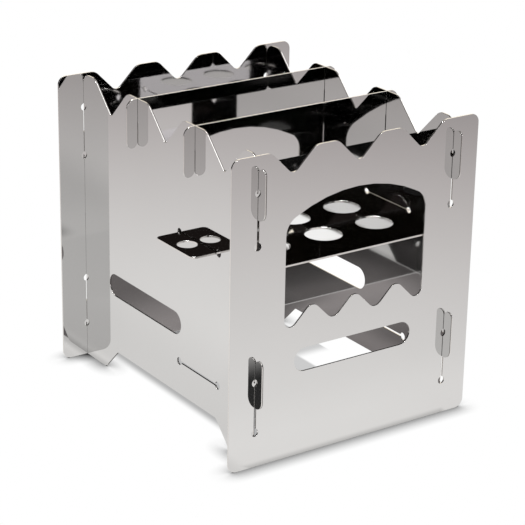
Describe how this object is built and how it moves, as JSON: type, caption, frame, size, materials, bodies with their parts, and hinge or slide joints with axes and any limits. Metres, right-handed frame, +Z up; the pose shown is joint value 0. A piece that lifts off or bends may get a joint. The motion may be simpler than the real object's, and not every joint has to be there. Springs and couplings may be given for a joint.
{
  "type": "hobo stove",
  "caption": "Box-shaped wood stove of flat steel sheets that hook into each other, with an arched fire window, draught slots, a perforated grate and cross plates for a pot.",
  "frame": {"origin": "centre of the stove's bounding box, on the floor that it stands on", "axes": "+X to the right along the front panel, +Y from the front panel to the back panel, +Z up"},
  "size_m": [0.16, 0.1912, 0.174],
  "materials": {
    "panel_steel": "bright rolled stainless sheet, mirror-like with a fine grain",
    "wall_steel": "bright rolled stainless sheet, mirror-like with a fine grain",
    "cross_plate_steel": "bright rolled stainless sheet, mirror-like with a fine grain",
    "grate_steel": "bright rolled stainless sheet, mirror-like with a fine grain"
  },
  "bodies": {
    "rear": {"back_panel": "panel_steel"},
    "walls": {"left_side_wall": "wall_steel", "right_side_wall": "wall_steel"},
    "front": {"front_panel": "panel_steel"},
    "rear_plate": {"rear_cross_plate": "cross_plate_steel"},
    "front_plate": {"front_cross_plate": "cross_plate_steel"},
    "grate": {"fire_grate": "grate_steel"}
  },
  "joints": [
    {"name": "walls_unhook", "type": "slide", "parent": "rear", "child": "walls", "axis": [0, 0, 1], "range_m": [0, 0.014]},
    {"name": "front_unhook", "type": "slide", "parent": "walls", "child": "front", "axis": [0, 0, 1], "range_m": [0, 0.014]},
    {"name": "rear_plate_lift", "type": "slide", "parent": "walls", "child": "rear_plate", "axis": [0, 0, 1], "range_m": [0, 0.0285]},
    {"name": "front_plate_lift", "type": "slide", "parent": "walls", "child": "front_plate", "axis": [0, 0, 1], "range_m": [0, 0.0285]},
    {"name": "grate_pull", "type": "slide", "parent": "walls", "child": "grate", "axis": [-1, 0, 0], "range_m": [0, 0.0022]}
  ]
}
